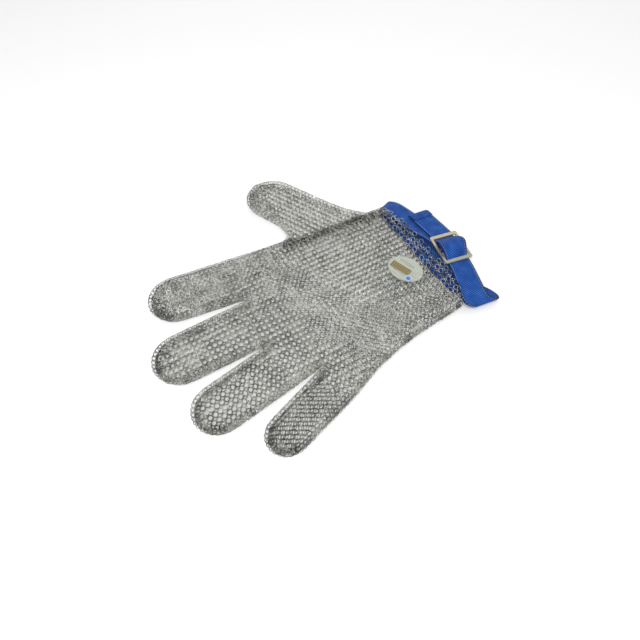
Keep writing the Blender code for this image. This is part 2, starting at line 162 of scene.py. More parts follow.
def addStudio(s):
    bm = bmesh.new()
    bmesh.ops.create_grid(bm, x_segments=1, y_segments=1, size=s["floorSize"] / 2)
    mesh = bpy.data.meshes.new("floor")
    bm.to_mesh(mesh)
    bm.free()
    floor = makeObject("floor", mesh)
    tone = (s["floorTone"],) * 3
    paper = newMaterial("palePaper", {"Base Color": (*tone, 1), "Roughness": 0.9, "Specular IOR Level": 0.1})[0]
    mesh.materials.append(paper)
    world = bpy.data.worlds.new("softRoom")
    world.use_nodes = True
    world.node_tree.nodes["Background"].inputs["Color"].default_value = (1, 1, 1, 1)
    world.node_tree.nodes["Background"].inputs["Strength"].default_value = s["sky"]
    bpy.context.scene.world = world
    for name, place, power, size in s["lamps"]:
        data = bpy.data.lights.new(name, "AREA")
        data.energy = power
        data.size = size
        lamp = makeObject(name, data)
        lamp.location = place
        lamp.rotation_euler = Vector(place).to_track_quat("Z", "Y").to_euler()
    bpy.context.scene.view_settings.view_transform = "Standard"


addCamera(lookFrom)
addStudio(studio)
print("camera, floor and lights placed")


wireFinish = {"dull": (0.075, 0.077, 0.066), "bright": (0.86, 0.87, 0.80), "markScale": 900.0, "rough": (0.22, 0.46)}


def steelWire(f):
    # bright annealed wire: each ring has its own tone, with painted light and shade by place added to it, and fine
    # drawing marks
    material, tree, shader = newMaterial("steelWire", {"Metallic": 1.0})
    link = tree.links.new
    tone = nodeOf(tree, "ShaderNodeAttribute", attribute_name="ringToneAndPaintedLight")
    link(rampOf(tree, tone.outputs["Fac"], ((0, f["dull"]), (1, f["bright"]))), shader.inputs["Base Color"])
    where = nodeOf(tree, "ShaderNodeTexCoord")
    marks = nodeOf(tree, "ShaderNodeTexNoise", {"Scale": f["markScale"]})
    link(where.outputs["Object"], marks.inputs["Vector"])
    spread = nodeOf(tree, "ShaderNodeMapRange", {"To Min": f["rough"][0], "To Max": f["rough"][1]})
    link(marks.outputs["Fac"], spread.inputs["Value"])
    link(spread.outputs["Result"], shader.inputs["Roughness"])
    return material


fingerNames = ("little", "ring", "middle", "index")
handTriangles = cornersOf(("hand_palm", "hand_back"))
thumbTriangles = cornersOf(("thumb_base_palm", "thumb_base_back"))
plan = {  # outline of the glove seen from above, read from the CAD nodes
    "step": 5 * mm, "fine": 1 * mm, "rounds": 8,  # steps along it, and how often it is relaxed
    "rootBand": 4 * mm, "tipBand": (34 * mm, 20 * mm),  # where a finger's widths are read
    "endAngles": (170, 10, 17),  # from, to and count round a fingertip
    "slitDepth": 8 * mm, "foldHalf": 35 * mm,
}


def stretchFrame(rootJoint, kneeJoint, baseNodes, tipNodes):
    # root, directions, half widths and length of one finger
    root = np.array(joints[rootJoint]["pos_m"][:2])
    across = unit(np.array(joints[kneeJoint]["axis"][:2]))
    along = np.array([-across[1], across[0]])
    tip = cornersOf(tipNodes).reshape(-1, 3)[:, :2] - root
    base = cornersOf(baseNodes).reshape(-1, 3)[:, :2] - root
    knee = float((np.array(joints[kneeJoint]["pos_m"][:2]) - root) @ along)
    s, t = tip @ along, tip @ across
    length = s.max()
    near = np.abs((base @ across)[np.abs(base @ along) < plan["rootBand"]])
    far = np.abs(t[(s > length - plan["tipBand"][0]) & (s < length - plan["tipBand"][1])])
    return {"root": root, "along": along, "across": across, "knee": knee, "length": float(length),
            "half": (float(near.max()) if len(near) else float(np.abs(t).max()), float(far.max()))}


fingers = {
    name: stretchFrame(f"{name}_root_bend", f"{name}_middle_bend", (f"{name}_base_palm", f"{name}_base_back"),
                       (f"{name}_tip_palm", f"{name}_tip_back"))
    for name in fingerNames
}
thumb = stretchFrame("thumb_middle_bend", "thumb_middle_bend", ("thumb_tip_palm",),
                     ("thumb_tip_palm", "thumb_tip_back"))
foldMiddle = np.array(joints["thumb_fold"]["pos_m"][:2])
foldLine = -unit(np.array(joints["thumb_fold"]["axis"][:2]))  # towards the fingertips
foldHalf = plan["foldHalf"]
foldAway = np.array([foldLine[1], -foldLine[0]])  # towards the thumb's tip


def fingerEdge(f, side, s):
    half = f["half"][0] + (f["half"][1] - f["half"][0]) * s / f["length"]
    return f["root"] + f["along"] * s + f["across"] * side * half


def roundEnd(f):
    # points round a fingertip from its left edge to its right edge
    half = f["half"][1]
    middle = f["root"] + f["along"] * (f["length"] - half)
    angles = np.radians(np.linspace(*plan["endAngles"]))
    return [middle + half * (f["across"] * math.cos(a) + f["along"] * math.sin(a)) for a in angles]


def webPoint(a, b):
    # where the slit between two neighbouring fingers ends
    p, u = fingerEdge(a, 1, 0.0), a["along"]
    q, v = fingerEdge(b, -1, 0.0), b["along"]
    k = np.linalg.solve(np.array([u, -v]).T, q - p)[0]
    return p + u * max(k, -plan["slitDepth"])


def outlinePoints():
    line = []
    step = plan["step"]
    low = handTriangles[..., 1].min()
    line.append((spanAt(handTriangles, 1, low + 4 * mm, 0)[0], low))
    for y in np.arange(low + 4 * mm, fingerEdge(fingers["little"], -1, 0)[1] - 2 * mm, step):
        line.append((spanAt(handTriangles, 1, y, 0)[0], y))
    for i, name in enumerate(fingerNames):
        f = fingers[name]
        straight = f["length"] - f["half"][1]
        line += [fingerEdge(f, -1, s) for s in np.arange(4 * mm if i == 0 else 1 * mm, straight, step)]
        line += roundEnd(f)
        line += [fingerEdge(f, 1, s) for s in np.arange(straight, 1 * mm, -step)]
        if i < 3:
            line.append(webPoint(f, fingers[fingerNames[i + 1]]))
    top = foldMiddle + foldLine * foldHalf
    bottom = foldMiddle - foldLine * foldHalf
    for y in np.arange(fingerEdge(fingers["index"], 1, 0)[1] - 3 * mm, top[1] + 3 * mm, -step):
        line.append((spanAt(handTriangles, 1, y, 0)[1], y))
    for x in np.arange(top[0] + 3 * mm, fingerEdge(thumb, -1, 0.0)[0] - 3 * mm, step):
        line.append((x, spanAt(thumbTriangles, 0, x, 1)[1]))
    straight = thumb["length"] - thumb["half"][1]
    line += [fingerEdge(thumb, -1, s) for s in np.arange(2 * mm, straight, step)]
    line += roundEnd(thumb)
    line += [fingerEdge(thumb, 1, s) for s in np.arange(straight, 2 * mm, -step)]
    for x in np.arange(fingerEdge(thumb, 1, 0.0)[0] - 4 * mm, bottom[0] + 1 * mm, -step):
        line.append((x, spanAt(thumbTriangles, 0, x, 1)[0]))
    for y in np.arange(bottom[1] - 2 * mm, low + 8 * mm, -4 * mm):
        line.append((spanAt(handTriangles, 1, y, 0)[1], y))
    line.append((spanAt(handTriangles, 1, low + 8 * mm, 0)[1], low))
    return np.array([np.asarray(p, float) for p in line])


def resample(line, step):
    lengths = np.concatenate([[0], np.cumsum(np.linalg.norm(np.diff(line, axis=0), axis=1))])
    marks = np.arange(0, lengths[-1], step)
    return np.stack([np.interp(marks, lengths, line[:, i]) for i in range(line.shape[1])], axis=1)


def relaxed(line, rounds):
    for _ in range(rounds):
        line = line.copy()
        line[1:-1] = line[1:-1] * 0.5 + (line[:-2] + line[2:]) * 0.25
    return line


outline = resample(relaxed(resample(outlinePoints(), plan["fine"]), plan["rounds"]), plan["fine"])
webSpots = np.array([webPoint(fingers[a], fingers[b]) for a, b in zip(fingerNames, fingerNames[1:])])
tangent = unit(np.gradient(outline, axis=0))
inward = np.stack([tangent[:, 1], -tangent[:, 0]], axis=1)
print("outline", len(outline), "mm long")


lie = {  # how high the mesh stands over each point of the plan
    "halfRing": 1.42 * mm,  # from the middle of a ring to its outer face
    "fingerHigh": 8.8 * mm, "thumbHigh": 7.4 * mm, "handHigh": 13.0 * mm,
    "foldReach": 11.0 * mm,  # length over which the palm comes down to the thumb
    "foldEnds": ((48 * mm, 11 * mm), (42 * mm, 14 * mm)),  # where that ends beside the fold, and its fades
    "handFall": 54 * mm,  # length over which the hand comes down to the fingers
    "handRound": 8.0 * mm, "fingerRound": 3.0 * mm, "roundRise": 3.5 * mm,
    "wave": 0.6 * mm,
}
rootY = {name: fingers[name]["root"][1] for name in fingerNames}
handYs = np.arange(handTriangles[..., 1].min() + 5 * mm, rootY["index"], 4 * mm)
handHighs = np.array([spanAt(handTriangles, 1, y, 2)[1] for y in handYs])


def handHeight(xy):
    # full height of the hand, which falls to the fingers' height at their roots
    rootLine = np.interp(xy[:, 0], [fingers[n]["root"][0] for n in fingerNames],
                         [rootY[n] for n in fingerNames])
    profile = np.interp(xy[:, 1], handYs, handHighs)
    fall = smooth((rootLine - xy[:, 1]) / lie["handFall"])
    return lie["fingerHigh"] + (np.minimum(profile, lie["handHigh"]) - lie["fingerHigh"]) * fall


def planHeight(xy):
    height = handHeight(xy)
    away = (xy - foldMiddle) @ foldAway
    down = (xy - foldMiddle) @ foldLine
    (low, lowFade), (high, highFade) = lie["foldEnds"]
    beside = smooth((down + low) / lowFade) * smooth((high - down) / highFade)
    slope = smooth(-away / lie["foldReach"])
    fallen = lie["thumbHigh"] + (height - lie["thumbHigh"]) * slope
    return height * (1 - beside) + fallen * beside


def ripple(xy):
    # the mesh never lies quite flat
    x, y = xy[:, 0] / mm, xy[:, 1] / mm
    wave = np.sin(x / 7.9 + y / 20.0) + np.sin(y / 10.2 - x / 16.5 + 1.3) + np.sin((x + y) / 5.5 + 0.6) * 0.6
    return lie["wave"] * wave / 2.6


def topAt(xy):
    return planHeight(xy) - lie["halfRing"] + ripple(xy)


def topNormal(xy):
    e = 0.5 * mm
    dx = (topAt(xy + [e, 0]) - topAt(xy - [e, 0])) / (2 * e)
    dy = (topAt(xy + [0, e]) - topAt(xy - [0, e])) / (2 * e)
    return unit(np.stack([-dx, -dy, np.ones(len(xy))], axis=1))


weave = {  # where each ring sits, which way it faces, and the row it belongs to
    "ringRadius": 1.75 * mm, "wireRadius": 0.26 * mm, "ringSegments": 12, "wireSegments": 4,
    "pitch": 3.95 * mm, "rowGap": 2.25 * mm, "edgePitch": 3.6 * mm, "edgeGap": 2.0 * mm,
    "lean": 34.0, "cuffLean": 28.0, "edgeLean": 42.0, "sideLean": 66.0, "looseness": 8.0,  # degrees
    "cuffStretch": 1.22, "stretchTo": 8 * mm, "cuffFade": (6 * mm, 14 * mm),
    "backShift": (0.3, 0.45),  # how far the back's rows lie out of step with the palm's, in pitches and row gaps
    "edgeRows": (-2, 7), "edgeSpare": 0.35,
    "handRows": ((-3, 38), (-44, 34)), "fingerRows": ((-16, 20), (-22, 22)),  # rings along, rows across
    "webReach": 11 * mm, "webInset": 1.5 * mm, "crowd": 1.3 * mm, "cell": 2 * mm,
    "splitAt": 66 * mm, "seed": 7,
}
edgeRound = lie["fingerRound"] + (lie["handRound"] - lie["fingerRound"]) * smooth(
    (planHeight(outline + inward * 8 * mm) - lie["fingerHigh"]) / lie["roundRise"])
edgeHigh = planHeight(outline + inward * edgeRound[:, None])
bendReach = 6.5 * mm  # length of mesh on each side of a joint that bends


def bodyOf(xy):
    # the CAD body that each point of the plan belongs to
    found = np.full(len(xy), "hand", dtype=object)
    for name, f in fingers.items():
        s, t = (xy - f["root"]) @ f["along"], (xy - f["root"]) @ f["across"]
        mine = (s >= 0) & (np.abs(t) <= f["half"][0] + 1.5 * mm)
        found[mine & (s < f["knee"] - bendReach)] = f"{name}_base"
        found[mine & (s >= f["knee"] - bendReach)] = f"{name}_tip"
    away, down = (xy - foldMiddle) @ foldAway, (xy - foldMiddle) @ foldLine
    mine = (away >= 0) & (np.abs(down) < foldHalf + 1 * mm + away)
    s = (xy - thumb["root"]) @ thumb["along"]
    found[mine & (s < -bendReach)] = "thumb_base"
    found[mine & (s >= -bendReach)] = "thumb_tip"
    return found


def edgeRings():
    # rows that follow the outline and wrap its edge from the back to the palm side
    low = lie["halfRing"]
    side = low + lie["fingerRound"]
    rows = []
    total = len(outline)
    for k in range(*weave["edgeRows"]):
        arc = k * weave["edgeGap"]
        marks = np.arange(0.25 + 0.5 * (k % 2), (total - 2) / (weave["edgePitch"] / mm)) * weave["edgePitch"] / mm
        index = np.arange(total)

        def at(values):
            if values.ndim == 1:
                return np.interp(marks, index, values)
            return np.stack([np.interp(marks, index, values[:, i]) for i in range(values.shape[1])], axis=1)

        point, into, way, reach, high = at(outline), unit(at(inward)), unit(at(tangent)), at(edgeRound), at(edgeHigh)
        if arc < 0:
            reach = np.full(len(marks), lie["fingerRound"])
            rise = np.full(len(marks), side - low)
        else:
            rise = high - lie["halfRing"] - side
        quarter = (math.pi / 2) * np.sqrt((reach**2 + rise**2) / 2)
        keep = np.abs(arc) <= quarter + weave["edgeSpare"] * weave["edgeGap"]
        angle = np.minimum(np.abs(arc) / quarter, 1.0) * math.pi / 2
        xy = point + into * (lie["halfRing"] + reach * (1 - np.cos(angle)))[:, None]
        z = side + np.sign(arc) * rise * np.sin(angle)
        out = np.concatenate([-into * (np.cos(angle) / reach)[:, None],
                              (np.sign(arc) * np.sin(angle) / rise)[:, None]], axis=1)
        lean = weave["edgeLean"] if k else weave["sideLean"]
        rows.append({
            "place": np.concatenate([xy, z[:, None]], axis=1)[keep],
            "facing": unit(out)[keep],
            "row": np.concatenate([way, np.zeros((len(marks), 1))], axis=1)[keep],
            "lean": np.full(keep.sum(), (1.0 if k % 2 else -1.0) * lean) / weave["lean"],
        })
    return rows


def insideOutline(xy):
    # even-odd test against the closed outline
    x, y = xy[:, 0:1], xy[:, 1:2]
    a, b = outline, np.roll(outline, -1, axis=0)
    crosses = (a[:, 1] > y) != (b[:, 1] > y)
    with np.errstate(divide="ignore", invalid="ignore"):
        at = (b[:, 0] - a[:, 0]) * (y - a[:, 1]) / (b[:, 1] - a[:, 1]) + a[:, 0]
    return (crosses & (x < at)).sum(axis=1) % 2 == 1


cuff = {"sides": 3 * mm, "dip": 13.5 * mm, "halfWide": 60 * mm, "fullness": 0.7}


def cuffEdge(x):
    # the mesh ends lowest in the middle of the wrist
    across = np.clip(x / cuff["halfWide"], -1, 1) * math.pi / 2
    return cuff["sides"] - cuff["dip"] * np.cos(across) ** cuff["fullness"]


def latticeRings():
    # straight rows between the edges, along each finger and along the hand
    patches = [("hand", np.zeros(2), np.array([0.0, 1.0]), np.array([1.0, 0.0]), *weave["handRows"])]
    for name, f in list(fingers.items()) + [("thumb", thumb)]:
        patches.append((name, f["root"], f["along"], f["across"], *weave["fingerRows"]))
    rows = []
    for name, origin, along, across, reach, width in patches:
        step, gap = weave["pitch"], weave["rowGap"]
        for j in range(*width):
            s = (np.arange(*reach) + 0.5 * (j % 2)) * step
            if name == "hand":
                start = weave["stretchTo"]
                s = np.where(s < start, start + (s - start) * weave["cuffStretch"], s)
            xy = origin + np.outer(s, along) + across * (j + 0.5) * gap
            part = np.array([b.split("_")[0] for b in bodyOf(xy)])
            xy = xy[(part == name) & insideOutline(xy)]
            if not len(xy):
                continue
            reachOut = np.linalg.norm(xy[:, None, :] - outline[None, :, :], axis=2)
            nearest = reachOut.argmin(axis=1)
            inside = reachOut.min(axis=1)
            webs = np.linalg.norm(xy[:, None, :] - webSpots[None, :, :], axis=2).min(axis=1) < weave["webReach"]
            for face, sign in (("palm", 1), ("back", -1)):
                reachIn = edgeRound[nearest] if face == "palm" else lie["fingerRound"]
                needed = np.where(webs & (name == "hand"), weave["webInset"], lie["halfRing"] + reachIn + 0.2 * gap)
                here = xy[inside > needed]
                if not len(here):
                    continue
                if face == "palm":
                    z, facing = topAt(here), topNormal(here)
                else:
                    here = here + along * weave["backShift"][0] * step + across * weave["backShift"][1] * gap
                    z, facing = np.full(len(here), lie["halfRing"]), np.tile([0.0, 0.0, -1.0], (len(here), 1))
                rows.append({
                    "place": np.concatenate([here, z[:, None]], axis=1),
                    "facing": facing,
                    "row": np.tile([*along, 0.0], (len(here), 1)),
                    "lean": np.full(len(here), sign * (1.0 if j % 2 else -1.0)),
                })
    return rows


tuck = {"wide": 10.0 * mm, "under": 2.6 * mm, "rowGap": 1.7 * mm, "start": 1.0 * mm, "span": (-13, 12), "lean": 1.2}


def tuckRings():
    # the mesh doubles up in a tuck along the thumb's fold
    rows = []
    for j in range(int(tuck["wide"] / tuck["rowGap"])):
        down = (np.arange(*tuck["span"]) + 0.5 * (j % 2)) * weave["edgePitch"]
        xy = foldMiddle + np.outer(down, foldLine) - foldAway * (tuck["start"] + j * tuck["rowGap"])
        z = topAt(xy) - tuck["under"]
        rows.append({
            "place": np.concatenate([xy, z[:, None]], axis=1), "facing": topNormal(xy),
            "row": np.tile([*foldLine, 0.0], (len(xy), 1)),
            "lean": np.full(len(xy), tuck["lean"] if j % 2 else -tuck["lean"]),
        })
    return rows


polish = {  # painted light and shade: how much lighter or darker the rings are in each place
    "plain": 0.07, "palm": 0.17, "thumb": 0.16, "fold": -0.22, "cuff": -0.10, "little": -0.10, "tips": -0.15,
    "crease": -0.2, "mottle": 0.05,
}


def paintedLightAt(xy, body):
    # painted light and shade: lighter over the palm and thumb, painted shade in the thumb's fold, at the cuff, on the
    # little finger, at the fingertips and in the crease by the ring and middle finger roots, with a small even ripple
    # of tone
    x, y = xy[:, 0] / mm, xy[:, 1] / mm
    away, down = (xy - foldMiddle) @ foldAway / mm, (xy - foldMiddle) @ foldLine / mm
    isThumb = np.array([b.startswith("thumb") for b in body])
    value = polish["plain"] + polish["palm"] * np.exp(-((x + 2) / 46) ** 2 - ((y - 62) / 42) ** 2)
    value += polish["thumb"] * isThumb
    value += (polish["fold"] * smooth((away + 15) / 5) * smooth((4 - away) / 4)
              * smooth((down + 46) / 8) * smooth((52 - down) / 20))
    value += polish["cuff"] * smooth((14 - y) / 12)
    value += polish["little"] * np.array([b.startswith("little") for b in body])
    # painted shade towards each fingertip
    for name, f in list(fingers.items()) + [("thumb", thumb)]:
        s = (xy - f["root"]) @ f["along"] - f["length"]
        value += polish["tips"] * smooth((s / mm + 18) / 12) * np.array([b == f"{name}_tip" for b in body])
    # painted shadow in the crease between the ring and middle fingers' roots
    value += polish["crease"] * np.exp(-((x + 12) / 9) ** 2 - ((y - 127) / 7) ** 2)
    return value + polish["mottle"] * (np.sin(x / 5.3 + y / 13.0) + np.sin(y / 4.7 - x / 9.0))


def allRings():
    rows = edgeRings() + latticeRings() + tuckRings()
    rings = {key: np.concatenate([r[key] for r in rows]) for key in ("place", "facing", "row", "lean")}
    rings["body"] = bodyOf(rings["place"][:, :2])
    # rings of two patches that would share one place: the later one goes
    cell = {}
    keep = np.ones(len(rings["lean"]), bool)
    for i, p in enumerate(rings["place"]):
        key = tuple(np.floor(p / weave["cell"]).astype(int))
        near = [j for dx in (-1, 0, 1) for dy in (-1, 0, 1) for dz in (-1, 0, 1)
                for j in cell.get((key[0] + dx, key[1] + dy, key[2] + dz), ())]
        if near and np.linalg.norm(rings["place"][near] - p, axis=1).min() < weave["crowd"]:
            keep[i] = False
        else:
            cell.setdefault(key, []).append(i)
    keep &= rings["place"][:, 1] > cuffEdge(rings["place"][:, 0])
    rings = {key: value[keep] for key, value in rings.items()}
    y = rings["place"][:, 1]
    loose = 1 - smooth((y + weave["cuffFade"][0]) / weave["cuffFade"][1])
    rings["lean"] = rings["lean"] * np.radians(weave["lean"] + (weave["cuffLean"] - weave["lean"]) * loose)
    # painted light and shade of each ring, by its place
    rings["polish"] = paintedLightAt(rings["place"][:, :2], rings["body"])
    return rings


def addInput(tree, name, kind, value):
    socket = tree.interface.new_socket(name, in_out="INPUT", socket_type=kind)
    if value is not None:
        socket.default_value = value
    return socket.identifier


def ringWeaveTree():
    # puts one ring on every point, turned to its row and its facing
    tree = bpy.data.node_groups.new("ringWeave", "GeometryNodeTree")
    tree.interface.new_socket("Geometry", in_out="INPUT", socket_type="NodeSocketGeometry")
    tree.interface.new_socket("Geometry", in_out="OUTPUT", socket_type="NodeSocketGeometry")
    ids = {
        "ringRadius": addInput(tree, "Ring Radius", "NodeSocketFloat", 0.00175),
        "wireRadius": addInput(tree, "Wire Radius", "NodeSocketFloat", 0.00025),
        "ringSegments": addInput(tree, "Ring Segments", "NodeSocketInt", 12),
        "wireSegments": addInput(tree, "Wire Segments", "NodeSocketInt", 4),
        "looseness": addInput(tree, "Looseness", "NodeSocketFloat", 0.08),
        "seed": addInput(tree, "Seed", "NodeSocketInt", 7),
        "material": addInput(tree, "Material", "NodeSocketMaterial", None),
    }
    new, link = tree.nodes.new, tree.links.new
    inside = new("NodeGroupInput")
    outside = new("NodeGroupOutput")

    def named(attribute, kind):
        node = new("GeometryNodeInputNamedAttribute")
        node.data_type = kind
        node.inputs["Name"].default_value = attribute
        return node.outputs["Attribute"]

    circle = new("GeometryNodeCurvePrimitiveCircle")
    wire = new("GeometryNodeCurvePrimitiveCircle")
    link(inside.outputs["Ring Radius"], circle.inputs["Radius"])
    link(inside.outputs["Ring Segments"], circle.inputs["Resolution"])
    link(inside.outputs["Wire Radius"], wire.inputs["Radius"])
    link(inside.outputs["Wire Segments"], wire.inputs["Resolution"])
    ring = new("GeometryNodeCurveToMesh")
    link(circle.outputs["Curve"], ring.inputs["Curve"])
    link(wire.outputs["Curve"], ring.inputs["Profile Curve"])
    face = new("FunctionNodeAlignRotationToVector")
    face.axis = "Z"
    link(named("facing", "FLOAT_VECTOR"), face.inputs["Vector"])
    row = new("FunctionNodeAlignRotationToVector")
    row.axis = "X"
    row.pivot_axis = "Z"
    link(face.outputs["Rotation"], row.inputs["Rotation"])
    link(named("rowWay", "FLOAT_VECTOR"), row.inputs["Vector"])
    loose = new("FunctionNodeRandomValue")
    loose.data_type = "FLOAT_VECTOR"
    low = new("ShaderNodeVectorMath")
    low.operation = "SCALE"
    low.inputs[0].default_value = (-1, -1, -1)
    high = new("ShaderNodeVectorMath")
    high.operation = "SCALE"
    high.inputs[0].default_value = (1, 1, 1)
    link(inside.outputs["Looseness"], low.inputs["Scale"])
    link(inside.outputs["Looseness"], high.inputs["Scale"])
    link(low.outputs["Vector"], loose.inputs["Min"])
    link(high.outputs["Vector"], loose.inputs["Max"])
    link(inside.outputs["Seed"], loose.inputs["Seed"])
    lean = new("ShaderNodeCombineXYZ")
    link(named("lean", "FLOAT"), lean.inputs["X"])
    turned = new("ShaderNodeVectorMath")
    link(lean.outputs["Vector"], turned.inputs[0])
    link(loose.outputs[0], turned.inputs[1])
    euler = new("FunctionNodeEulerToRotation")
    link(turned.outputs["Vector"], euler.inputs["Euler"])
    turn = new("FunctionNodeRotateRotation")
    turn.rotation_space = "LOCAL"
    link(row.outputs["Rotation"], turn.inputs["Rotation"])
    link(euler.outputs["Rotation"], turn.inputs["Rotate By"])
    spread = new("GeometryNodeInstanceOnPoints")
    link(inside.outputs["Geometry"], spread.inputs["Points"])
    link(ring.outputs["Mesh"], spread.inputs["Instance"])
    link(turn.outputs["Rotation"], spread.inputs["Rotation"])
    tone = new("FunctionNodeRandomValue")
    tone.data_type = "FLOAT"
    link(inside.outputs["Seed"], tone.inputs["Seed"])
    mark = new("GeometryNodeStoreNamedAttribute")
    mark.data_type = "FLOAT"
    mark.domain = "INSTANCE"
    mark.inputs["Name"].default_value = "ringToneAndPaintedLight"
    link(spread.outputs["Instances"], mark.inputs["Geometry"])
    # each ring's random tone plus the painted light and shade of its place
    toneAndPaintedLight = new("ShaderNodeMath")
    toneAndPaintedLight.operation = "MULTIPLY_ADD"
    toneAndPaintedLight.inputs[1].default_value = 0.7
    link(tone.outputs[1], toneAndPaintedLight.inputs[0])
    link(named("polish", "FLOAT"), toneAndPaintedLight.inputs[2])
    link(toneAndPaintedLight.outputs["Value"], mark.inputs["Value"])
    real = new("GeometryNodeRealizeInstances")
    link(mark.outputs["Geometry"], real.inputs["Geometry"])
    soft = new("GeometryNodeSetShadeSmooth")
    link(real.outputs["Geometry"], soft.inputs["Geometry"])
    paint = new("GeometryNodeSetMaterial")
    link(soft.outputs["Geometry"], paint.inputs["Geometry"])
    link(inside.outputs["Material"], paint.inputs["Material"])
    link(paint.outputs["Geometry"], outside.inputs["Geometry"])
    return tree, ids


def applied(obj, name):
    # the modifiers' result as a plain mesh of its own
    graph = bpy.context.evaluated_depsgraph_get()
    mesh = bpy.data.meshes.new_from_object(obj.evaluated_get(graph))
    mesh.name = name
    bpy.data.objects.remove(obj)
    return makeObject(name, mesh)


def wovenPiece(name, rings, mine, tree, ids, wire):
    mesh = bpy.data.meshes.new(f"{name}_places")
    mesh.from_pydata(rings["place"][mine].tolist(), [], [])
    for attribute, key in (("facing", "facing"), ("rowWay", "row")):
        stored = mesh.attributes.new(attribute, "FLOAT_VECTOR", "POINT")
        stored.data.foreach_set("vector", rings[key][mine].ravel())
    for key in ("lean", "polish"):
        mesh.attributes.new(key, "FLOAT", "POINT").data.foreach_set("value", rings[key][mine])
    obj = makeObject(f"{name}_places", mesh)
    modifier = obj.modifiers.new("ringWeave", "NODES")
    modifier.node_group = tree
    for key in ("ringRadius", "wireRadius", "ringSegments", "wireSegments"):
        modifier[ids[key]] = weave[key]
    modifier[ids["looseness"]] = math.radians(weave["looseness"])
    modifier[ids["seed"]] = weave["seed"] + len(name)
    modifier[ids["material"]] = wire
    return applied(obj, name)


rings = allRings()
print("rings", len(rings["lean"]))
tree, ids = ringWeaveTree()
wire = steelWire(wireFinish)
upper = rings["facing"][:, 2] > 0
far = rings["place"][:, 1] > weave["splitAt"]
for name, mine, covers in (
    ("hand_palm_near_rings", upper & ~far, "hand_palm"), ("hand_palm_far_rings", upper & far, "hand_palm"),
    ("hand_back_near_rings", ~upper & ~far, "hand_back"), ("hand_back_far_rings", ~upper & far, "hand_back"),
):
    piece = wovenPiece(name, rings, mine & (rings["body"] == "hand"), tree, ids, wire)
    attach(piece, "hand")
    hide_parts(covers)
    print(name, len(piece.data.polygons))
bends = {
    "thumb_base": ("hand", foldMiddle - foldAway * 1 * mm, foldMiddle + foldAway * 10 * mm),
    "thumb_tip": ("thumb_base", thumb["root"] - thumb["along"] * bendReach,
                  thumb["root"] + thumb["along"] * bendReach),
}
for name, f in fingers.items():
    knee = f["root"] + f["along"] * f["knee"]
    bends[f"{name}_base"] = ("hand", f["root"], f["root"] + f["along"] * 10 * mm)
    bends[f"{name}_tip"] = (f"{name}_base", knee - f["along"] * bendReach, knee + f["along"] * bendReach)
for body, (parent, start, end) in bends.items():
    piece = wovenPiece(f"{body}_rings", rings, rings["body"] == body, tree, ids, wire)
    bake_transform(piece)
    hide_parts(f"{body}_palm", f"{body}_back")
print("ring mesh woven")


barMiddle = (np.array(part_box("buckle_centre_bar")[0]) + np.array(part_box("buckle_centre_bar")[1])) / 2
strap = {
    "wide": 17.8 * mm, "thick": 1.2 * mm, "step": 0.5 * mm, "across": 12, "scallop": 1.7 * mm,
    "scallopDeep": 0.16 * mm, "barTurn": -10.0, "barReach": 1.9 * mm,
    # middle of the webbing in mm: x, y, z, turn of its long direction in degrees, share of its full width
    "overHand": ((-7.0, -22.6, 9.1, -10, 1), (7.0, -20.9, 9.0, -4, 1), (24.4, -15.2, 9.0, 6, 1),
                 (41.8, -11.2, 8.7, 6, 1), (51.3, -8.6, 8.3, 12, 0.95), (57.0, -6.6, 5.7, 20, 0.82),
                 (51.3, -8.2, 2.9, 0, 1)),
    "underHand": ((40.0, -9.0, 2.6, 0, 1), (0.0, -9.1, 2.5, 0, 1), (-37.4, -10.6, 2.6, 0, 1),
                  (-50.5, -17.9, 2.6, 0, 1.05)),
    "leftTurn": ((-59.2, -20.6, 2.5, -4, 1.1), (-63.4, -15.5, 5.8, -8, 1.2), (-58.3, -9.6, 9.2, -14, 1.15)),
    "toBuckle": ((-43.5, -14.0, 10.2, -18, 1.06), (-31.3, -18.0, 10.6, -14, 1), (-24.0, -19.7, 10.5, -10, 1)),
    "overBar": ((-20.8, -20.1, 12.3, -10, 1), (-16.8, -20.9, 16.0, -10, 1.1), (-11.5, -22.3, 17.4, -10, 1.2),
                (-6.4, -23.2, 16.0, -10, 1.12), (-2.3, -23.4, 12.3, -10, 1), (1.0, -23.8, 10.8, -10, 0.98)),
    "tail": ((4.4, -24.4, 11.0, -8, 1), (17.4, -23.4, 11.0, -4, 1), (24.5, -22.7, 11.1, -5, 1),
             (31.0, -22.0, 11.0, -6, 0.98)),
    "hem": ((25.2, -22.6, 12.35, -5, 0.97), (29.5, -22.2, 12.4, -6, 0.97), (31.6, -22.0, 12.2, -6, 0.97),
            (32.1, -21.9, 11.4, -6, 0.97), (32.0, -21.9, 10.6, -6, 0.97)),
}


def curveAt(points, u):
    # a smooth curve through points
    points = np.asarray(points, float)
    last = len(points) - 1
    i = np.minimum((u * last).astype(int), last - 1)
    f = (u * last - i)[:, None]
    padded = np.concatenate([[2 * points[0] - points[1]], points, [2 * points[-1] - points[-2]]])
    before, a, b, after = padded[i], padded[i + 1], padded[i + 2], padded[i + 3]
    return 0.5 * (2 * a + (b - before) * f + (2 * before - 5 * a + 4 * b - after) * f**2
                  + (3 * a - before - 3 * b + after) * f**3)


def barRoute(s):
    # the sewn end of the webbing, which goes round the buckle's centre bar
    turn = math.radians(s["barTurn"])
    offsets = [(5.2 * mm, -0.95 * mm), (3.15 * mm, 0.9 * mm)]
    roundBar = np.radians((65, 100, 140, 180, 220, 260))
    offsets += [(s["barReach"] * math.cos(a), s["barReach"] * math.sin(a)) for a in roundBar]
    x, y, z = barMiddle / mm
    return tuple((x + a / mm * math.cos(turn), y + a / mm * math.sin(turn), z + b / mm, s["barTurn"], 1.0)
                 for a, b in offsets)


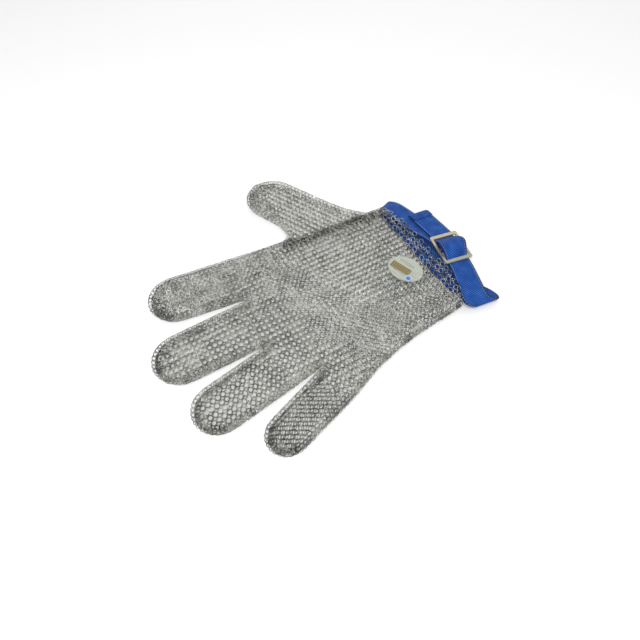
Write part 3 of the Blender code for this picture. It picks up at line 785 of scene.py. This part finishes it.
def evenRoute(points, share=(0.0, 1.0)):
    # sections every half millimetre along a route: middle, long direction, width direction, facing, width share
    dense = curveAt(points, np.linspace(*share, 6000))
    dense[:, :3] *= mm
    run = np.concatenate([[0], np.cumsum(np.linalg.norm(np.diff(dense[:, :3], axis=0), axis=1))])
    marks = np.arange(0, run[-1], strap["step"])
    spot = np.stack([np.interp(marks, run, dense[:, i]) for i in range(5)], axis=1)
    way = unit(np.gradient(spot[:, :3], axis=0))
    turn = np.radians(spot[:, 3])
    across = np.stack([-np.sin(turn), np.cos(turn), np.zeros(len(turn))], axis=1)
    return {"run": marks, "middle": spot[:, :3], "way": way, "across": across, "facing": unit(np.cross(way, across)),
            "half": spot[:, 4] * strap["wide"] / 2}


def webbingPoint(r, i, v, proud=0.0):
    # a point on the outer face, v from -1 to 1 across the webbing
    half = r["half"][i][..., None]
    rise = strap["thick"] / 2 * np.sqrt(1 - 0.9 * np.abs(v) ** 6) + proud
    return r["middle"][i] + r["across"][i] * half * v + r["facing"][i] * rise


def webbingPiece(name, r, cloth):
    count = strap["across"]
    v = np.linspace(-1, 1, count + 1)
    section = np.concatenate([v, v[-2:0:-1]])
    side = np.concatenate([np.ones(count + 1), -np.ones(count - 1)])
    bulge = strap["thick"] / 2 * (1 - np.abs(section) ** 8) ** 0.5
    edge = strap["scallopDeep"] * np.sin(r["run"] / strap["scallop"] * 2 * math.pi)
    places = (r["middle"][:, None, :] + r["across"][:, None, :] * ((r["half"] + edge)[:, None] * section)[..., None]
              + r["facing"][:, None, :] * (side * bulge)[None, :, None])
    rows, ring = places.shape[0], places.shape[1]
    faces = [(i * ring + j, i * ring + (j + 1) % ring, (i + 1) * ring + (j + 1) % ring, (i + 1) * ring + j)
             for i in range(rows - 1) for j in range(ring)]
    faces += [tuple(range(ring))[::-1], tuple(range((rows - 1) * ring, rows * ring))]
    mesh = bpy.data.meshes.new(name)
    mesh.from_pydata(places.reshape(-1, 3).tolist(), [], faces)
    bm = bmesh.new()
    bm.from_mesh(mesh)
    bmesh.ops.recalc_face_normals(bm, faces=bm.faces)
    layer = bm.loops.layers.uv.new("webbing")
    for face in bm.faces:
        for loop in face.loops:
            i, j = divmod(loop.vert.index, ring)
            loop[layer].uv = (r["run"][i] / (10 * mm), section[j] * r["half"][i] / (10 * mm))
    bm.to_mesh(mesh)
    bm.free()
    mesh.shade_smooth()
    mesh.materials.append(cloth)
    return makeObject(name, mesh)


webbingFinish = {
    "slant": 52.0, "ribScale": 2.1, "yarnScale": 5.5, "yarnShare": 0.35, "cloudScale": 1.4,
    # blue ramp over the ribs: the dark stop is painted shade in the grooves, the light stop painted highlight on the
    # ridges
    "ribLightAndTone": ((0.12, (0.005, 0.038, 0.20)), (0.45, (0.012, 0.080, 0.35)), (0.85, (0.042, 0.17, 0.54))),
    "selvedge": (0.008, 0.026, 0.13), "selvedgeFrom": (0.76, 0.86), "bump": 0.7, "bumpHigh": 0.0004,
}


def blueWebbing(f):
    # twilled polyester: slanting ribs and fine yarns, coloured darker in the grooves as painted shade and lighter on
    # the ridges as painted highlight under a cloudy tone, and a darker selvedge
    material, tree, shader = newMaterial("blueWebbing", {
        "Roughness": 0.62, "Specular IOR Level": 0.15, "Sheen Weight": 0.06, "Sheen Roughness": 0.4})
    link = tree.links.new
    where = nodeOf(tree, "ShaderNodeUVMap", uv_map="webbing")
    slant = nodeOf(tree, "ShaderNodeMapping", {"Rotation": (0, 0, math.radians(f["slant"]))})
    link(where.outputs["UV"], slant.inputs["Vector"])
    ribs = nodeOf(tree, "ShaderNodeTexWave",
                  {"Scale": f["ribScale"], "Distortion": 1.6, "Detail": 2.0, "Detail Scale": 1.5},
                  wave_type="BANDS", bands_direction="X")
    link(slant.outputs["Vector"], ribs.inputs["Vector"])
    yarns = nodeOf(tree, "ShaderNodeTexWave", {"Scale": f["yarnScale"], "Distortion": 2.0, "Detail Scale": 6.0},
                   wave_type="BANDS", bands_direction="Y")
    link(where.outputs["UV"], yarns.inputs["Vector"])
    both = nodeOf(tree, "ShaderNodeMath", {1: f["yarnShare"]}, operation="MULTIPLY_ADD")
    link(yarns.outputs["Fac"], both.inputs[0])
    link(ribs.outputs["Fac"], both.inputs[2])
    cloud = nodeOf(tree, "ShaderNodeTexNoise", {"Scale": f["cloudScale"]})
    link(where.outputs["UV"], cloud.inputs["Vector"])
    ribLightAndCloud = nodeOf(tree, "ShaderNodeMath", operation="MULTIPLY")
    link(both.outputs["Value"], ribLightAndCloud.inputs[0])
    link(cloud.outputs["Fac"], ribLightAndCloud.inputs[1])
    split = nodeOf(tree, "ShaderNodeSeparateXYZ")
    link(where.outputs["UV"], split.inputs["Vector"])
    fromMiddle = nodeOf(tree, "ShaderNodeMath", operation="ABSOLUTE")
    link(split.outputs["Y"], fromMiddle.inputs[0])
    selvedge = nodeOf(tree, "ShaderNodeMapRange",
                      {"From Min": f["selvedgeFrom"][0], "From Max": f["selvedgeFrom"][1]})
    link(fromMiddle.outputs["Value"], selvedge.inputs["Value"])
    dark = nodeOf(tree, "ShaderNodeMix", data_type="RGBA")
    dark.inputs["B"].default_value = (*f["selvedge"], 1)
    link(selvedge.outputs["Result"], dark.inputs["Factor"])
    # painted shade in the rib grooves and painted highlight on the ridges, under a cloudy tone
    link(rampOf(tree, ribLightAndCloud.outputs["Value"], f["ribLightAndTone"]), dark.inputs["A"])
    link(dark.outputs["Result"], shader.inputs["Base Color"])
    bump = nodeOf(tree, "ShaderNodeBump", {"Strength": f["bump"], "Distance": f["bumpHigh"]})
    link(both.outputs["Value"], bump.inputs["Height"])
    link(bump.outputs["Normal"], shader.inputs["Normal"])
    return material


def plainThread(name, light, shade):
    # twisted sewing thread
    material, tree, shader = newMaterial(name, {"Roughness": 0.7})
    where = nodeOf(tree, "ShaderNodeTexCoord")
    twist = nodeOf(tree, "ShaderNodeTexNoise", {"Scale": 1800.0})
    tree.links.new(where.outputs["Object"], twist.inputs["Vector"])
    tree.links.new(rampOf(tree, twist.outputs["Fac"], ((0, shade), (1, light))), shader.inputs["Base Color"])
    return material


def stitchTree():
    # lays one short bar of thread or ink on every point
    tree = bpy.data.node_groups.new("shortBars", "GeometryNodeTree")
    tree.interface.new_socket("Geometry", in_out="INPUT", socket_type="NodeSocketGeometry")
    tree.interface.new_socket("Geometry", in_out="OUTPUT", socket_type="NodeSocketGeometry")
    ids = {
        "length": addInput(tree, "Length", "NodeSocketFloat", 0.0012),
        "radius": addInput(tree, "Radius", "NodeSocketFloat", 0.0002),
        "material": addInput(tree, "Material", "NodeSocketMaterial", None),
    }
    new, link = tree.nodes.new, tree.links.new
    inside = new("NodeGroupInput")
    outside = new("NodeGroupOutput")
    end = new("ShaderNodeCombineXYZ")
    link(inside.outputs["Length"], end.inputs["X"])
    line = new("GeometryNodeCurvePrimitiveLine")
    link(end.outputs["Vector"], line.inputs["End"])
    roundWire = new("GeometryNodeCurvePrimitiveCircle")
    roundWire.inputs["Resolution"].default_value = 6
    link(inside.outputs["Radius"], roundWire.inputs["Radius"])
    bar = new("GeometryNodeCurveToMesh")
    bar.inputs["Fill Caps"].default_value = True
    link(line.outputs["Curve"], bar.inputs["Curve"])
    link(roundWire.outputs["Curve"], bar.inputs["Profile Curve"])
    turns = []
    for axis, attribute in (("Z", "facing"), ("X", "rowWay")):
        read = new("GeometryNodeInputNamedAttribute")
        read.data_type = "FLOAT_VECTOR"
        read.inputs["Name"].default_value = attribute
        turn = new("FunctionNodeAlignRotationToVector")
        turn.axis = axis
        link(read.outputs["Attribute"], turn.inputs["Vector"])
        turns.append(turn)
    turns[1].pivot_axis = "Z"
    link(turns[0].outputs["Rotation"], turns[1].inputs["Rotation"])
    spread = new("GeometryNodeInstanceOnPoints")
    link(inside.outputs["Geometry"], spread.inputs["Points"])
    link(bar.outputs["Mesh"], spread.inputs["Instance"])
    link(turns[1].outputs["Rotation"], spread.inputs["Rotation"])
    real = new("GeometryNodeRealizeInstances")
    link(spread.outputs["Instances"], real.inputs["Geometry"])
    paint = new("GeometryNodeSetMaterial")
    link(real.outputs["Geometry"], paint.inputs["Geometry"])
    link(inside.outputs["Material"], paint.inputs["Material"])
    link(paint.outputs["Geometry"], outside.inputs["Geometry"])
    return tree, ids


barTree, barIds = stitchTree()


def barsPiece(name, place, facing, way, length, radius, material):
    mesh = bpy.data.meshes.new(f"{name}_places")
    mesh.from_pydata(np.asarray(place).tolist(), [], [])
    for attribute, values in (("facing", facing), ("rowWay", way)):
        stored = mesh.attributes.new(attribute, "FLOAT_VECTOR", "POINT")
        stored.data.foreach_set("vector", np.asarray(values).ravel())
    obj = makeObject(f"{name}_places", mesh)
    modifier = obj.modifiers.new("shortBars", "NODES")
    modifier.node_group = barTree
    modifier[barIds["length"]] = length
    modifier[barIds["radius"]] = radius
    modifier[barIds["material"]] = material
    return applied(obj, name)


stitch = {"apart": 2.1 * mm, "long": 1.2 * mm, "thick": 0.17 * mm, "edgeAt": 0.84,
          "hemRows": (0.22, 0.62), "hemSpan": (-0.92, 0.9), "hemFlat": 0.62, "hemClose": 0.8}


def stitchesAlong(r, sides):
    # places of the stitches in rows beside the webbing's edges
    every = max(1, round(stitch["apart"] / strap["step"]))
    i = np.arange(2, len(r["run"]) - 4, every)
    place = np.concatenate([webbingPoint(r, i, v) for v in sides])
    return place, np.tile(r["facing"][i], (len(sides), 1)), np.tile(r["way"][i], (len(sides), 1))


blue = blueWebbing(webbingFinish)
paleThread = plainThread("paleThread", (0.30, 0.40, 0.62), (0.14, 0.22, 0.46))
darkThread = plainThread("darkThread", (0.012, 0.03, 0.12), (0.006, 0.014, 0.06))
route = barRoute(strap)
for stretch in ("overHand", "underHand", "leftTurn", "toBuckle", "overBar"):
    route += strap[stretch]
leaves = (len(route) - 1) / (len(route) + len(strap["tail"]) - 1)  # share of the route at which the loose tail begins
band = evenRoute(route + strap["tail"], (0.0, leaves))
tail = evenRoute(route + strap["tail"], (leaves, 1.0))
hem = evenRoute(strap["hem"])
edges = (-stitch["edgeAt"], stitch["edgeAt"])
for name, run, covers in (("strap_band_web", band, "strap_band"), ("strap_tail_web", tail, "strap_tail"),
                          ("tail_hem_web", hem, "tail_hem")):
    piece = webbingPiece(name, run, blue)
    if name != "tail_hem_web":
        place, facing, way = stitchesAlong(run, edges)
        thread = paleThread
    else:
        v = np.arange(*stitch["hemSpan"], stitch["apart"] * stitch["hemClose"] / run["half"][0])
        rows = [int(k * len(run["run"]) * stitch["hemFlat"]) for k in stitch["hemRows"]]
        place = np.concatenate([[webbingPoint(run, np.array([i]), x)[0] for x in v] for i in rows])
        facing = np.concatenate([np.tile(run["facing"][i], (len(v), 1)) for i in rows])
        way = np.concatenate([np.tile(run["across"][i], (len(v), 1)) for i in rows])
        thread = darkThread
    stitches = barsPiece(f"{name}_stitches", place, facing, way, stitch["long"], stitch["thick"], thread)
    for one in (piece, stitches):
        if name == "strap_tail_web":
            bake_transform(one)
        else:
            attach(one, "hand" if name == "strap_band_web" else "strap_end")
    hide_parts(covers)
print("webbing and stitches laid")


buckleFinish = {
    "greyEnd": (0.44, 0.46, 0.38), "champagneEnd": (0.62, 0.55, 0.40), "from": -20 * mm, "to": -3 * mm,
    "markScale": 420.0, "wear": 0.35, "rough": (0.24, 0.5),
}


def buckleMetal(f):
    # plated steel, champagne at one end and green-grey at the other, with fine rub marks
    material, tree, shader = newMaterial("buckleMetal", {"Metallic": 0.75})
    link = tree.links.new
    where = nodeOf(tree, "ShaderNodeTexCoord")
    split = nodeOf(tree, "ShaderNodeSeparateXYZ")
    link(where.outputs["Object"], split.inputs["Vector"])
    side = nodeOf(tree, "ShaderNodeMapRange", {"From Min": f["from"], "From Max": f["to"]})
    link(split.outputs["X"], side.inputs["Value"])
    plate = nodeOf(tree, "ShaderNodeMix", {"A": (*f["greyEnd"], 1), "B": (*f["champagneEnd"], 1)}, data_type="RGBA")
    link(side.outputs["Result"], plate.inputs["Factor"])
    marks = nodeOf(tree, "ShaderNodeTexNoise", {"Scale": f["markScale"], "Detail": 6.0})
    link(where.outputs["Object"], marks.inputs["Vector"])
    worn = nodeOf(tree, "ShaderNodeMix", {"Factor": f["wear"]}, data_type="RGBA", blend_type="MULTIPLY")
    link(plate.outputs["Result"], worn.inputs["A"])
    link(marks.outputs["Color"], worn.inputs["B"])
    link(worn.outputs["Result"], shader.inputs["Base Color"])
    rough = nodeOf(tree, "ShaderNodeMapRange", {"To Min": f["rough"][0], "To Max": f["rough"][1]})
    link(marks.outputs["Fac"], rough.inputs["Value"])
    link(rough.outputs["Result"], shader.inputs["Roughness"])
    return material


tag = {
    "turn": 20.0, "brush": (120, 1500, 120), "barGap": 1.9 * mm,
    "dashRows": (-4.2, -5.8, 5.6), "dashFrom": -4.5 * mm, "dashTo": 7.5 * mm, "dashShift": 0.4,
    "dashLong": 1.0 * mm, "dashThick": 0.22 * mm, "dashApart": 1.6 * mm,
}


def printedPlate(name, light, shade, bars=None, metallic=0.0):
    # a printed or brushed face; bars gives the spacing of dark printed bars across it
    material, tree, shader = newMaterial(name, {"Metallic": metallic, "Roughness": 0.42})
    link = tree.links.new
    where = nodeOf(tree, "ShaderNodeTexCoord")
    turned = nodeOf(tree, "ShaderNodeMapping", vector_type="TEXTURE")
    turned.inputs["Rotation"].default_value = (0, 0, math.radians(tag["turn"]))
    link(where.outputs["Object"], turned.inputs["Vector"])
    if bars:
        grain = nodeOf(tree, "ShaderNodeTexWave", {"Scale": math.pi / 10 / bars, "Distortion": 0.4},
                       wave_type="BANDS", bands_direction="X")
        link(turned.outputs["Vector"], grain.inputs["Vector"])
    else:
        stretch = nodeOf(tree, "ShaderNodeVectorMath", {1: tag["brush"]}, operation="MULTIPLY")
        link(turned.outputs["Vector"], stretch.inputs[0])
        grain = nodeOf(tree, "ShaderNodeTexNoise", {"Scale": 1.0})
        link(stretch.outputs["Vector"], grain.inputs["Vector"])
    link(rampOf(tree, grain.outputs["Fac"], ((0.3, shade), (0.7, light))), shader.inputs["Base Color"])
    return material


def repaint(node, material):
    for slot in nodes[node].material_slots:
        slot.material = material


metal = buckleMetal(buckleFinish)
repaint("buckle_frame", metal)
repaint("buckle_centre_bar", metal)
repaint("tag_plate", printedPlate("brushedTag", (0.50, 0.53, 0.46), (0.36, 0.385, 0.33), metallic=0.35))
repaint("tag_label", printedPlate("goldBars", (0.30, 0.24, 0.09), (0.10, 0.075, 0.025), bars=tag["barGap"]))
repaint("tag_size_dot", printedPlate("dotBlue", (0.10, 0.19, 0.62), (0.06, 0.12, 0.46)))
repaint("tag_dot_rim", printedPlate("dotPale", (0.50, 0.57, 0.66), (0.40, 0.47, 0.57)))


def finePrint(t):
    # rows of short printed dashes on the tag, in place of words
    low, high = (np.array(v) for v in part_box("tag_plate"))
    middle = (low + high) / 2
    turn = math.radians(t["turn"])
    along = np.array([math.cos(turn), math.sin(turn), 0])
    across = np.array([-along[1], along[0], 0])
    place = []
    for k, y in enumerate(t["dashRows"]):
        for x in np.arange(t["dashFrom"] + k * t["dashShift"] * mm, t["dashTo"], t["dashApart"]):
            place.append(middle * [1, 1, 0] + [0, 0, high[2]] + along * x + across * y * mm)
    up, ways = np.tile([0.0, 0.0, 1.0], (len(place), 1)), np.tile(along, (len(place), 1))
    ink = plainThread("brownInk", (0.22, 0.19, 0.09), (0.13, 0.11, 0.05))
    return barsPiece("tag_fine_print", place, up, ways, t["dashLong"], t["dashThick"], ink)


printed = finePrint(tag)
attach(printed, "hand")
print("buckle and tag finished")
